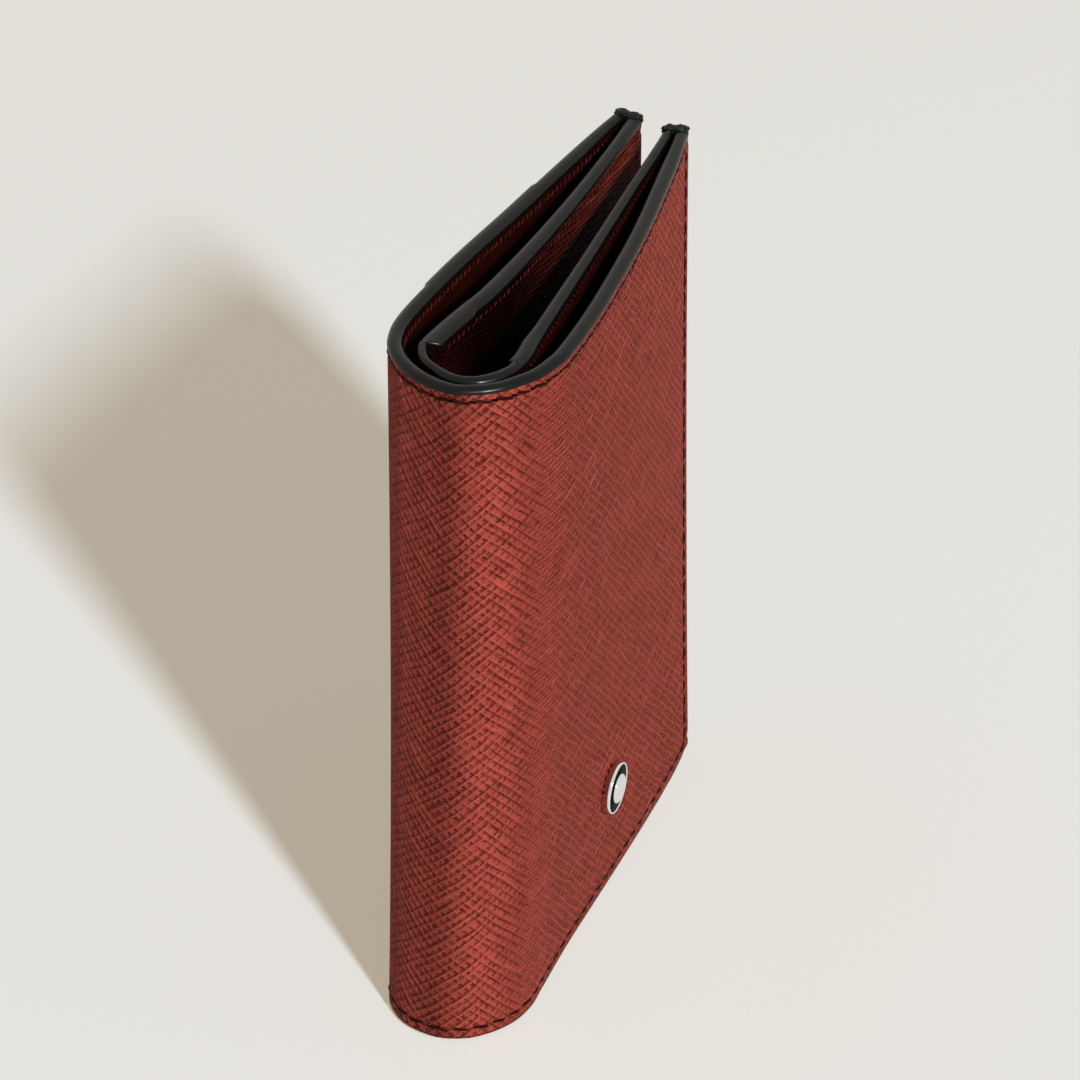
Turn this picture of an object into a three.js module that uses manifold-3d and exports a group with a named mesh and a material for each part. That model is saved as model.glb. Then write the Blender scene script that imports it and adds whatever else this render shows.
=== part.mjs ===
// A bifold mini wallet that stands on its bottom edge with its spine towards -X.
// Millimetres, +Z up. The front cover with the emblem faces -Y, the back cover faces +Y,
// and both free edges point to +X. The origin is the centre of the footprint.
import * as THREE from "three";
import { mergeVertices } from "three/addons/utils/BufferGeometryUtils.js";
import Module from "manifold-3d";

const wasm = await Module();
wasm.setup();

// Overall size of the folded wallet
const height = 110;
const topLength = 80.5; // from the nose of the spine to the free edges, at the top
const noseLean = 3.0; // how much further the nose of the spine reaches at the bottom
const bottomHalfWidth = 11.2; // half the thickness at the spine, at the sewn bottom edge
const topGape = 1.8; // how much further out each cover stands at the open top
const topHalfWidth = bottomHalfWidth + topGape;

// Leather thicknesses and the play between two layers
const coverLeather = 1.2;
const liningLeather = 0.8;
const dividerLeather = 1.0;
const cardLeather = 0.5;
const play = 0.3;
const hingePlay = 0.4;

// Painted edges
const edgeRise = 0.8;
const freeEdgeDepth = 0.8;

// Fold lines on the outside of each cover, measured from the nose of the spine at the top.
// The back one sits further along, because the spine is fuller there.
const frontFold = { side: -1, along: 5.0, across: 0.72 * topHalfWidth };
const backFold = { side: 1, along: 7.5, across: 0.87 * topHalfWidth };
const foldMeetAlong = 13.1; // where the two fold planes meet inside the spine

// Card pockets, measured from the nose of the spine at the top
const slipStart = 9.6;
const pocketStart = 11.2; // the second layer starts a little behind the first

// The layers are pared thinner towards the free edges: over which length, and to which share
const coverSkive = { length: 14, share: 0.8 };
const panelSkive = { length: 55, share: 0.7 };

// Emblem on the front cover
const emblemAlong = 40.3;
const emblemRise = 19.5;
const emblemRadius = 4.0;
const bezelHeight = 0.9;
const bezelWall = 0.55;
const bezelFloor = 0.35;
const domeCrown = 0.75;
const domePlay = 0.1;
const shankRadius = 1.4;
const washerRadius = 2.6;
const washerThickness = 0.3;
const washerPlay = 0.1;

// How finely the curves are drawn
const stepsPerPoint = 2;
const roundSteps = 32;
const levelShares = [0, 0.12, 0.3, 0.52, 0.76, 1];
const riseShare = 1.7; // how early above the bottom seam the layers part

// The covers in plan, from the back free edge round the nose to the front free edge.
// Each row holds the share of the length, and of the half width at the top and at the bottom.
const coverShares = [
  [1.0, 0.51, 0.68],
  [0.9, 0.6, 0.7],
  [0.76, 0.7, 0.73],
  [0.6, 0.8, 0.76],
  [0.43, 0.92, 0.81],
  [0.3, 0.98, 0.88],
  [0.2, 1.0, 0.96],
  [0.14, 0.95, 1.0],
  [0.09, 0.82, 0.98],
  [0.045, 0.57, 0.8],
  [0.012, 0.23, 0.48],
  [0.0, -0.13, 0.03],
  [0.015, -0.4, -0.33],
  [0.04, -0.61, -0.55],
  [0.07, -0.75, -0.71],
  [0.105, -0.88, -0.82],
  [0.15, -0.96, -0.87],
  [0.2, -1.0, -0.85],
  [0.33, -0.98, -0.8],
  [0.47, -0.91, -0.78],
  [0.62, -0.81, -0.76],
  [0.77, -0.67, -0.73],
  [0.9, -0.53, -0.68],
  [1.0, -0.4, -0.6],
];

// The divider in plan at the top, in the same order, with the free ends left out:
// share of the length and of the half width at the top.
const dividerShares = [
  [0.9, 0.31],
  [0.76, 0.29],
  [0.6, 0.3],
  [0.43, 0.35],
  [0.32, 0.41],
  [0.25, 0.49],
  [0.18, 0.55],
  [0.13, 0.57],
  [0.09, 0.48],
  [0.06, 0.3],
  [0.037, -0.05],
  [0.043, -0.28],
  [0.06, -0.43],
  [0.08, -0.54],
  [0.11, -0.62],
  [0.16, -0.64],
  [0.22, -0.6],
  [0.33, -0.55],
  [0.47, -0.49],
  [0.62, -0.42],
  [0.77, -0.35],
  [0.9, -0.3],
];

// Cross sections of the painted edges: across share and rise share of the outer side
const crownShares = [
  [0, 0],
  [0, 0.45],
  [0.14, 0.85],
  [0.36, 1],
];
const footShares = [
  [0.24, 0],
  [0.1, 0.1],
  [0, 0.4],
  [0, 1],
];

// Sizes that follow
const centreAlong = (topLength - noseLean) / 2;
const coverStack = coverLeather + play + liningLeather;
const dividerStart = coverStack + play;
const slipDepth = dividerLeather + play;
const slipStack = slipDepth + cardLeather;
const pocketDepth = slipStack + play;
const pocketStack = pocketDepth + cardLeather;
const leatherLow = edgeRise + play;
const leatherHigh = height - edgeRise - play;
const endAlong = topLength - freeEdgeDepth - play;
const reach = 2 * topLength; // every cutting prism reaches past the wallet by this

const red = new THREE.MeshStandardMaterial({ color: 0x8a3226, roughness: 0.55, metalness: 0 });
const darkRed = new THREE.MeshStandardMaterial({ color: 0x3a0f0b, roughness: 0.7, metalness: 0 });
const black = new THREE.MeshStandardMaterial({ color: 0x17181a, roughness: 0.35, metalness: 0 });
const polished = new THREE.MeshStandardMaterial({ color: 0xd8d9dc, roughness: 0.08, metalness: 1 });
const steel = new THREE.MeshStandardMaterial({ color: 0x9a9ca0, roughness: 0.4, metalness: 1 });

// A smooth plan curve through control points, as a list of points
function smooth(points) {
  return new THREE.SplineCurve(points).getPoints(stepsPerPoint * (points.length - 1));
}

// The unit normals of a plan curve that point into the fold
function inwardNormals(points) {
  return points.map((point, i) => {
    const before = points[Math.max(i - 1, 0)];
    const after = points[Math.min(i + 1, points.length - 1)];
    const along = after.clone().sub(before).normalize();
    return new THREE.Vector2(-along.y, along.x);
  });
}

// How thick a layer is at a place along the wallet, as a share of its full thickness
function thicknessAt(along, skive) {
  const skived = THREE.MathUtils.smoothstep(along, topLength - skive.length, topLength);
  return 1 - (1 - skive.share) * skived;
}

// The plan curve of a cover moved into the fold by a depth, pared at the free edges
function inset(points, depth) {
  const normals = inwardNormals(points);
  return points.map((point, i) =>
    point.clone().addScaledVector(normals[i], depth * thicknessAt(point.x, coverSkive)),
  );
}

const coverTop = smooth(
  coverShares.map(([along, top]) => new THREE.Vector2(along * topLength, top * topHalfWidth)),
);
const coverBottom = smooth(
  coverShares.map(
    ([along, , bottom]) =>
      new THREE.Vector2(along * (topLength + noseLean) - noseLean, bottom * bottomHalfWidth),
  ),
);
const dividerEnds = inset(coverTop, dividerStart).filter(
  (point, i, all) => i === 0 || i === all.length - 1,
);
const dividerTop = smooth([
  new THREE.Vector2(topLength, dividerEnds[0].y),
  ...dividerShares.map(
    ([along, across]) => new THREE.Vector2(along * topLength, across * topHalfWidth),
  ),
  new THREE.Vector2(topLength, dividerEnds[1].y),
]);
const dividerBottom = inset(coverBottom, dividerStart);

// A surface between a bottom and a top plan curve: its plan curve at any height
function planAt(surface, z) {
  const share = 1 - Math.pow(1 - THREE.MathUtils.clamp(z / height, 0, 1), riseShare);
  return surface.bottom.map((point, i) => point.clone().lerp(surface.top[i], share));
}
const cover = { bottom: coverBottom, top: coverTop, skive: coverSkive };
const divider = { bottom: dividerBottom, top: dividerTop, skive: panelSkive };

// A closed solid that follows a surface. The section is a list of rungs, each with its height
// and the depths of its outer and inner end, so that the ends close as a ladder of quads.
function sweep(surface, rungs) {
  const rows = rungs.map(({ z, outer, inner }) => {
    const plan = planAt(surface, z);
    const normals = inwardNormals(plan);
    const side = (depth) =>
      plan.map((point, i) => {
        const deep = typeof depth === "function" ? depth(point.x) : depth;
        const pared = deep * thicknessAt(point.x, surface.skive);
        const moved = point.clone().addScaledVector(normals[i], pared);
        return new THREE.Vector3(moved.x - centreAlong, moved.y, z);
      });
    return { outer: side(outer), inner: side(inner) };
  });
  const loop = [...rows.map((row) => row.outer), ...rows.map((row) => row.inner).reverse()];
  const columns = loop[0].length;
  const positions = loop.flat().flatMap((point) => point.toArray());
  const at = (ring, column) => (ring % loop.length) * columns + column;
  const faces = [];
  for (let ring = 0; ring < loop.length; ring++)
    for (let column = 0; column + 1 < columns; column++) {
      const [a, b] = [at(ring, column), at(ring, column + 1)];
      const [c, d] = [at(ring + 1, column + 1), at(ring + 1, column)];
      faces.push(a, b, c, a, c, d);
    }
  for (let rung = 0; rung + 1 < rows.length; rung++)
    for (const column of [0, columns - 1]) {
      const [a, b] = [at(rung, column), at(rung + 1, column)];
      const [c, d] = [at(loop.length - 2 - rung, column), at(loop.length - 1 - rung, column)];
      if (column === 0) faces.push(a, b, c, a, c, d);
      else faces.push(a, c, b, a, d, c);
    }
  const geometry = new THREE.BufferGeometry();
  geometry.setAttribute("position", new THREE.Float32BufferAttribute(positions, 3));
  geometry.setIndex(faces);
  return solid(geometry);
}

// A leather sheet between two depths, from the bottom edge paint to the top edge paint
function sheet(surface, outer, inner) {
  return sweep(
    surface,
    levelShares.map((share) => ({
      z: THREE.MathUtils.lerp(leatherLow, leatherHigh, share),
      outer,
      inner,
    })),
  );
}

// A painted edge over the depths from zero to width, with its rounded side at the top or bottom
function paintedEdge(surface, width, low, high, shares) {
  const widthAt = typeof width === "function" ? width : () => width;
  return sweep(
    surface,
    shares.map(([across, rise]) => ({
      z: THREE.MathUtils.lerp(low, high, rise),
      outer: (along) => across * widthAt(along),
      inner: (along) => (1 - across) * widthAt(along),
    })),
  );
}

// three.js geometry to a manifold solid and back
function solid(geometry) {
  const bare = geometry.clone();
  bare.deleteAttribute("normal");
  bare.deleteAttribute("uv");
  const merged = mergeVertices(bare);
  return new wasm.Manifold(
    new wasm.Mesh({
      numProp: 3,
      vertProperties: merged.attributes.position.array,
      triVerts: new Uint32Array(merged.index.array),
    }),
  );
}
function geometryOf(body) {
  const { vertProperties, triVerts } = body.getMesh();
  const geometry = new THREE.BufferGeometry();
  geometry.setAttribute("position", new THREE.BufferAttribute(new Float32Array(vertProperties), 3));
  geometry.setIndex(new THREE.BufferAttribute(new Uint32Array(triVerts), 1));
  geometry.computeVertexNormals();
  return geometry;
}

// An upright prism over a plan outline, used to keep one region of a layer
function region(outline) {
  const shape = new THREE.Shape(outline.map(([x, y]) => new THREE.Vector2(x - centreAlong, y)));
  const prism = new THREE.ExtrudeGeometry(shape, { depth: 2 * reach, bevelEnabled: false });
  prism.translate(0, 0, -reach / 2);
  return solid(prism);
}

// A fold plane runs upright through each fold line to where the two meet inside the spine.
// The wing lies on one side of it and the spine on the other, with play between.
function foldPlane({ side, along, across }) {
  const run = new THREE.Vector2(foldMeetAlong - along, across).normalize();
  const shift = hingePlay / 2 / run.y;
  const outsideAlong = along - (run.x / run.y) * (reach - across);
  return { side, shift, outsideAlong };
}
function wingRegion({ side, shift, outsideAlong }) {
  return region([
    [foldMeetAlong + shift, 0],
    [outsideAlong + shift, side * reach],
    [reach, side * reach],
    [reach, 0],
  ]);
}
function spineHalf({ side, shift, outsideAlong }) {
  return region([
    [foldMeetAlong - shift, 0],
    [outsideAlong - shift, side * reach],
    [-2 * reach, side * reach],
    [-2 * reach, 0],
  ]);
}
const frontPlane = foldPlane(frontFold);
const backPlane = foldPlane(backFold);
const spineRegion = spineHalf(frontPlane).add(spineHalf(backPlane));
function stretch(side, from, to) {
  return region([
    [from, 0],
    [to, 0],
    [to, side * reach],
    [from, side * reach],
  ]);
}

const wallet = new THREE.Group();
const spine = new THREE.Group();
const frontWing = new THREE.Group();
const backWing = new THREE.Group();
frontWing.position.set(frontFold.along - centreAlong, -frontFold.across, 0);
backWing.position.set(backFold.along - centreAlong, backFold.across, 0);
wallet.add(spine, frontWing, backWing);

// Adds a solid that is given in the wallet's frame to a group, under its node name
function add(group, name, body, material) {
  const geometry = geometryOf(body);
  geometry.translate(-group.position.x, -group.position.y, -group.position.z);
  const mesh = new THREE.Mesh(geometry, material);
  mesh.name = name;
  group.add(mesh);
}

// A point on the outside of a cover with its outward normal, for what is fixed to the cover
function coverPoint(side, along, z) {
  const pointAt = (rise) => {
    const plan = planAt(cover, rise).filter((point) => side * point.y > 0);
    plan.sort((a, b) => a.x - b.x);
    const next = plan.findIndex((point) => point.x > along);
    const share = (along - plan[next - 1].x) / (plan[next].x - plan[next - 1].x);
    const here = plan[next - 1].clone().lerp(plan[next], share);
    const run = plan[next].clone().sub(plan[next - 1]).normalize();
    return { here: new THREE.Vector3(here.x, here.y, rise), run: new THREE.Vector3(run.x, run.y, 0) };
  };
  const { here, run } = pointAt(z);
  const climb = pointAt(z + emblemRadius).here.sub(here).normalize();
  const normal = run.cross(climb).normalize();
  if (normal.y * side < 0) normal.negate();
  here.x -= centreAlong;
  return { here, normal };
}

// A round piece from a closed profile of radius and height, standing on the cover
function turned(profile, seat) {
  const outline = profile.map(([radius, rise]) => new THREE.Vector2(radius, rise));
  const lathe = new THREE.LatheGeometry(outline, roundSteps);
  lathe.applyQuaternion(
    new THREE.Quaternion().setFromUnitVectors(new THREE.Vector3(0, 1, 0), seat.normal),
  );
  lathe.translate(seat.here.x, seat.here.y, seat.here.z);
  return solid(lathe);
}
function disc(radius, low, high, seat) {
  return turned([[0, low], [radius, low], [radius, high], [0, high]], seat);
}

const emblemSeat = coverPoint(-1, emblemAlong, emblemRise);

// The emblem is a cup with a shank through the leather, a dome in the cup and a washer behind.
const bezelLow = play / 2;
const bezelTop = bezelLow + bezelHeight;
const cupFloor = bezelLow + bezelFloor;
const cupRadius = emblemRadius - bezelWall;
const shankEnd = -coverLeather + play / 2;
const washerHigh = shankEnd + washerThickness;
const emblemBezel = turned(
  [
    [0, shankEnd],
    [shankRadius, shankEnd],
    [shankRadius, bezelLow],
    [emblemRadius, bezelLow],
    [emblemRadius, bezelTop - bezelWall / 2],
    [emblemRadius - bezelWall / 2, bezelTop],
    [cupRadius, bezelTop],
    [cupRadius, cupFloor],
    [0, cupFloor],
  ],
  emblemSeat,
);
const domeRadius = cupRadius - domePlay;
const domeLow = cupFloor + domePlay;
const domeEdge = bezelTop - domePlay;
const domeTurns = 6;
const domeProfile = [[0, domeLow], [domeRadius, domeLow]];
for (let turn = 0; turn <= domeTurns; turn++) {
  const angle = (turn / domeTurns) * (Math.PI / 2);
  const radius = turn < domeTurns ? domeRadius * Math.cos(angle) : 0;
  domeProfile.push([radius, domeEdge + domeCrown * Math.sin(angle)]);
}
const emblemDome = turned(domeProfile, emblemSeat);
const washerHole = shankRadius + washerPlay;
const emblemWasher = turned(
  [
    [washerHole, shankEnd],
    [washerRadius, shankEnd],
    [washerRadius, washerHigh],
    [washerHole, washerHigh],
    [washerHole, shankEnd],
  ],
  emblemSeat,
);
const emblemHole = disc(shankRadius + play / 2, -coverLeather - play, play, emblemSeat).add(
  disc(washerRadius + play / 2, -coverLeather - play, washerHigh + play / 2, emblemSeat),
);

// Layers that run round the whole wallet are made once and parted at the fold planes.
const layers = [
  ["cover_leather", sheet(cover, 0, coverLeather), red],
  ["cover_lining", sheet(cover, coverLeather + play, coverStack), darkRed],
  ["divider", sheet(divider, 0, dividerLeather), darkRed],
  [
    "cover_top_edge",
    paintedEdge(cover, coverStack, height - edgeRise, height, crownShares),
    black,
  ],
];
const frontRegion = wingRegion(frontPlane);
const backRegion = wingRegion(backPlane);
const frontStretch = stretch(-1, -reach, endAlong);
const backStretch = stretch(1, -reach, endAlong);
for (const [name, body, material] of layers) {
  add(spine, "spine_" + name, body.intersect(spineRegion), material);
  const front = body.intersect(frontRegion).intersect(frontStretch);
  const holed = name === "cover_leather" ? front.subtract(emblemHole) : front;
  add(frontWing, "front_" + name, holed, material);
  add(backWing, "back_" + name, body.intersect(backRegion).intersect(backStretch), material);
}

// The top edge of the divider takes in the card leather where that begins.
function panelWidth(along) {
  if (along < slipStart) return dividerLeather;
  return along < pocketStart ? slipStack : pocketStack;
}
const panelEdge = paintedEdge(divider, panelWidth, height - edgeRise, height, crownShares);
add(spine, "spine_divider_top_edge", panelEdge.intersect(spineRegion), black);

// One bottom edge takes in every layer, because all of them are sewn together there.
function bottomWidth(along) {
  const pared = thicknessAt(along, panelSkive) / thicknessAt(along, coverSkive);
  return dividerStart + panelWidth(along) * pared;
}
const bottomEdge = paintedEdge(cover, bottomWidth, 0, edgeRise, footShares);
add(spine, "spine_bottom_edge", bottomEdge.intersect(spineRegion), black);

const wings = [
  ["front", frontWing, -1, frontRegion.intersect(frontStretch)],
  ["back", backWing, 1, backRegion.intersect(backStretch)],
];
for (const [name, group, side, keep] of wings) {
  add(group, name + "_panel_top_edge", panelEdge.intersect(keep), black);
  add(group, name + "_bottom_edge", bottomEdge.intersect(keep), black);
  const slip = sheet(divider, slipDepth, slipStack);
  add(group, name + "_slip_panel", slip.intersect(stretch(side, slipStart, endAlong)), red);
  const pocket = sheet(divider, pocketDepth, pocketStack);
  add(group, name + "_card_pocket", pocket.intersect(stretch(side, pocketStart, endAlong)), red);
  add(group, name + "_free_edge", freeEdge(side), black);
}

// The painted free edge closes the ends of every layer of one wing, top to bottom.
function freeEdge(side) {
  const keep = stretch(side, topLength - freeEdgeDepth, reach);
  const depth = dividerStart + (pocketStack * panelSkive.share) / coverSkive.share;
  const rungs = levelShares.map((share) => ({ z: share * height, outer: 0, inner: depth }));
  return sweep(cover, rungs).intersect(keep);
}

add(frontWing, "emblem_bezel", emblemBezel, polished);
add(frontWing, "emblem_dome", emblemDome, polished);
add(frontWing, "emblem_washer", emblemWasher, steel);

export default wallet;
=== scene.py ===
import math

import bpy
import numpy as np
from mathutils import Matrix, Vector, noise


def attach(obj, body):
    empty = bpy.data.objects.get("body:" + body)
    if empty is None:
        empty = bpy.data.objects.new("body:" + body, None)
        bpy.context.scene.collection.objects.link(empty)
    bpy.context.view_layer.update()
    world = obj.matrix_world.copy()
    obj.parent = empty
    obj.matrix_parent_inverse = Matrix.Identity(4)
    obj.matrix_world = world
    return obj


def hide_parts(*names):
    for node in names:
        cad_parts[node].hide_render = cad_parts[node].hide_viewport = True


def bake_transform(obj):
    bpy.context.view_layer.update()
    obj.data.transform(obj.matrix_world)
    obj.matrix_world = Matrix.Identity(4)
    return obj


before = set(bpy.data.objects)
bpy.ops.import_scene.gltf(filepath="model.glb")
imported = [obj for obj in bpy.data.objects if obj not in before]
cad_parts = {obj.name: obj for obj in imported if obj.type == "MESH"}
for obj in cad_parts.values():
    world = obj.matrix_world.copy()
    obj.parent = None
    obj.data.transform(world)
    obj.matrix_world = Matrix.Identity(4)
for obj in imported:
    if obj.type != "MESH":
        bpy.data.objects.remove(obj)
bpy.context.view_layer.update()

MM = 0.001

# Overall size of the folded wallet
height = 110.0
top_length = 80.5
nose_lean = 3.0
top_half_width = 13.0
bottom_half_width = 11.2
rise_share = 1.7
centre_along = (top_length - nose_lean) / 2

# The back wing's free end stands this much further out than the front one's
back_reach = 1.2
back_reach_start = 30.0

# Layers of a cover, as depths from its outside
cover_leather = 1.2
lining_start = 1.25
cover_stack = 2.3
divider_start = 2.6
cover_skive_length = 14.0
cover_skive_share = 0.8

# Layers of a panel, as shares of its thickness: the divider, the slip panel and the pocket
divider_share = 0.38
slip_shares = (0.39, 0.68)
pocket_shares = (0.69, 0.985)

# Thickness of a panel with its paint, at places along the wallet
front_panel_widths = [(11.0, 2.5), (16.0, 2.5), (20.0, 2.1), (41.0, 1.8), (59.0, 1.65), (80.0, 1.5)]
back_panel_widths = [
    (11.0, 3.2), (20.5, 3.2), (22.0, 2.75), (41.0, 2.45), (60.0, 2.15), (71.0, 2.0), (80.0, 2.35)]
ring_width = 1.4
ring_front_width = 1.85

# Card pockets
slip_start = 9.6
pocket_start = 11.2
panel_end = 79.5

# Painted edges: the paint wraps over the layers and swells a little at their sides. Towards
# the free edge the rims meet, and at the patch the back cover's rim stands prouder
rim_wrap = 0.92
rim_crown = 0.88
rim_swell = 0.06
foot_wrap = 0.85
free_edge_along = 79.5
rim_meet_length = 5.0
rim_patch = (24.6, 56.0)
rim_patch_proud = 0.3
paint_coat = 0.06

# The divider's rim stands proud round the nose, as far on each side as it meets the cover's
ring_coat = 0.08
ring_proud = 0.3
ring_proud_length = {-1: 10.0, 1: 3.5}
ring_widening = (2.0, 8.0)

# Small gaps between layers, and how the rims fit each other
lining_play = 0.08
divider_play = 0.04
ring_overlap = 0.6
patch_ramp = 0.6
mouth_ramp = (slip_start - 0.2, slip_start + 0.9)
nose_stretch = (4, 18)
pared_at_nose = 0.2
cover_rim_meets = 0.22
panel_rim_meets = 0.16

# Between which heights the leather sheets run, under the paint
sheet_low = 0.55
sheet_high = height - 0.82

# Seams: their places, the furrow that the thread pulls, the pitch of the outer stitches, and
# between which shares of their slant and size the threads differ
seam_inset = 2.1
panel_seam_inset = 3.0
panel_seam_start = slip_start + 4.0
seam_dip = 0.16
seam_spread = 0.6
stitch_pitch = 3.0
slant_spread = (0.6, 1.4)
size_spread = (0.85, 1.1)

# Emblem on the front cover
emblem_along = 40.3
emblem_rise = 19.5
emblem_radius = 4.0

# Ridges of the leather's grain: their angle, their pitch, how far to the side their shade falls
# in pitches, how strong it is where it is broken, and a shift that tells the families apart
rising_ridges = (50.0, 1.157, 0.3, 0.2, 0.3)
falling_ridges = (-46.0, 1.165, 0.3, 0.35, 7.7)
fine_ridges = (81.6, 0.81, 0.42, 0.6, 3.1)

# Stretches of the unrolled hide, measured from the nose and negative towards the back: where
# the grain turns finer on a cover, where rising and falling ridges change places in front of
# the nose and behind it, and over which the painted shade on leather that stays inside lifts to its full
# colour
fine_stretch = (8.0, 24.0)
front_change = (4.5, 7.5)
back_change = (-4.5, -0.5)
painted_inner_shade_stretch = (32.0, 78.0)

# How finely the curves are drawn, and past which angle in degrees a corner is sharp
steps_per_point = 16
sheet_rows = 34
emblem_turns = 96
sharp_corner = 52

# The covers in plan, from the back free edge round the nose to the front free edge.
# Each row holds the share of the length, and of the half width at the top and at the bottom.
cover_shares = [
    (1.0, 0.51, 0.68),
    (0.9, 0.6, 0.7),
    (0.76, 0.7, 0.73),
    (0.6, 0.8, 0.76),
    (0.43, 0.92, 0.81),
    (0.3, 0.98, 0.88),
    (0.2, 1.0, 0.96),
    (0.14, 0.95, 1.0),
    (0.09, 0.82, 0.98),
    (0.045, 0.57, 0.8),
    (0.012, 0.23, 0.48),
    (0.0, -0.13, 0.03),
    (0.015, -0.4, -0.33),
    (0.04, -0.61, -0.55),
    (0.07, -0.75, -0.71),
    (0.105, -0.88, -0.82),
    (0.15, -0.96, -0.87),
    (0.2, -1.0, -0.85),
    (0.33, -0.98, -0.8),
    (0.47, -0.91, -0.78),
    (0.62, -0.81, -0.76),
    (0.77, -0.67, -0.73),
    (0.9, -0.53, -0.68),
    (1.0, -0.4, -0.6),
]
nose_row = 11

# The divider in plan at the top, in the same order, with the free ends left out
divider_shares = [
    (0.9, 0.31),
    (0.76, 0.29),
    (0.6, 0.3),
    (0.43, 0.35),
    (0.32, 0.41),
    (0.25, 0.49),
    (0.18, 0.55),
    (0.13, 0.57),
    (0.09, 0.48),
    (0.06, 0.3),
    (0.037, -0.05),
    (0.043, -0.28),
    (0.06, -0.43),
    (0.08, -0.54),
    (0.11, -0.62),
    (0.16, -0.64),
    (0.22, -0.6),
    (0.33, -0.55),
    (0.47, -0.49),
    (0.62, -0.42),
    (0.77, -0.35),
    (0.9, -0.3),
]


# Camera, floor and lights

def seen_background(tree, colour):
    """Light for rays that end in the eye or in a reflection, and which rays those are."""
    rays = tree.nodes.new("ShaderNodeLightPath")
    seen = rays.outputs["Is Camera Ray"]
    for kind in ("Is Glossy Ray", "Is Transmission Ray"):
        seen = math_of(tree, "MAXIMUM", seen, rays.outputs[kind])
    kind = "ShaderNodeBackground" if "World Output" in tree.nodes else "ShaderNodeEmission"
    return add(tree, kind, {"Color": (*colour, 1), "Strength": 1.0}), seen


def aimed(made, location, direction):
    """Puts a camera or a lamp in the scene, looking along a direction."""
    made.location = location
    made.rotation_mode = "QUATERNION"
    made.rotation_quaternion = direction.to_track_quat("-Z", "Y")
    bpy.context.scene.collection.objects.link(made)


def studio():
    """The camera at the photograph's angle, a pale floor, one soft lamp and an even sky."""
    scene = bpy.context.scene
    scene.view_settings.view_transform = "Standard"
    target = Vector((0.00935, 0.00497, 0.055))
    azimuth, elevation, distance = math.radians(-67.6), math.radians(33.0), 0.85
    back = Vector((
        math.sin(azimuth) * math.cos(elevation),
        -math.cos(azimuth) * math.cos(elevation),
        math.sin(elevation),
    ))
    camera = bpy.data.objects.new("camera", bpy.data.cameras.new("camera"))
    camera.data.lens = 191.95
    camera.data.sensor_width = 36.0
    camera.data.clip_start = 0.05
    camera.data.clip_end = 50.0
    aimed(camera, target + back * distance, -back)
    scene.camera = camera

    paper = (0.533, 0.615, 0.681)
    paper_glow = (0.407, 0.343, 0.255)
    backdrop = (0.783, 0.752, 0.701)
    floor_half = 6.0
    mesh = bpy.data.meshes.new("floor")
    corners = [(-1, -1), (1, -1), (1, 1), (-1, 1)]
    mesh.from_pydata([(x * floor_half, y * floor_half, 0) for x, y in corners], [], [(0, 1, 2, 3)])
    floor = bpy.data.objects.new("floor", mesh)
    scene.collection.objects.link(floor)
    material, tree, shader = principled("pale_studio_paper", paper, 0.9, specular=0.0)
    glow, seen = seen_background(tree, paper_glow)
    tree.links.new(seen, glow.inputs["Strength"])
    both = add(tree, "ShaderNodeAddShader", {0: shader.outputs[0], 1: glow.outputs[0]})
    tree.links.new(both.outputs[0], tree.nodes["Material Output"].inputs["Surface"])
    floor.data.materials.append(material)

    world = bpy.data.worlds.new("studio_sky")
    world.use_nodes = True
    scene.world = world
    tree = world.node_tree
    sky = tree.nodes["Background"]
    sky.inputs["Color"].default_value = (0.12, 0.116, 0.109, 1)
    pale, seen = seen_background(tree, backdrop)
    mix = tree.nodes.new("ShaderNodeMixShader")
    tree.links.new(seen, mix.inputs["Fac"])
    tree.links.new(sky.outputs[0], mix.inputs[1])
    tree.links.new(pale.outputs[0], mix.inputs[2])
    tree.links.new(mix.outputs[0], tree.nodes["World Output"].inputs["Surface"])

    towards_lamp = Vector((-0.545, -0.61, 0.556)).normalized()
    lamp_distance = 8.0
    lamp = bpy.data.objects.new("key_lamp", bpy.data.lights.new("key_lamp", "AREA"))
    lamp.data.shape = "ELLIPSE"
    lamp.data.size = 0.55
    lamp.data.size_y = 1.1
    lamp.data.energy = 650.0
    aimed(lamp, target + towards_lamp * lamp_distance, -towards_lamp)


# Materials

def principled(name, colour, roughness, specular=0.5, metallic=0.0):
    """A material with one shader, and its tree, ready for a pattern."""
    material = bpy.data.materials.new(name)
    material.use_nodes = True
    tree = material.node_tree
    shader = tree.nodes["Principled BSDF"]
    shader.inputs["Base Color"].default_value = (*colour, 1)
    shader.inputs["Roughness"].default_value = roughness
    shader.inputs["Specular IOR Level"].default_value = specular
    shader.inputs["Metallic"].default_value = metallic
    material.diffuse_color = (*colour, 1)
    return material, tree, shader


def add(tree, kind, inputs=(), **settings):
    """A node with its settings. Inputs are values or other nodes' outputs, by name or number."""
    node = tree.nodes.new(kind)
    for key, value in settings.items():
        setattr(node, key, value)
    for key, value in dict(inputs).items():
        if isinstance(value, bpy.types.NodeSocket):
            tree.links.new(value, node.inputs[key])
        else:
            node.inputs[key].default_value = value
    return node


def math_of(tree, operation, first, second=0.0, clamp=False):
    node = add(tree, "ShaderNodeMath", {0: first, 1: second}, operation=operation)
    node.use_clamp = clamp
    return node.outputs[0]


def times(tree, first, second):
    return math_of(tree, "MULTIPLY", first, second)


def spread(tree, value, low, high, to_low, to_high, smooth=False):
    """Value stretched from one range to another."""
    kind = "SMOOTHSTEP" if smooth else "LINEAR"
    inputs = {"Value": value, "From Min": low, "From Max": high, "To Min": to_low, "To Max": to_high}
    return add(tree, "ShaderNodeMapRange", inputs, interpolation_type=kind).outputs["Result"]


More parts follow.
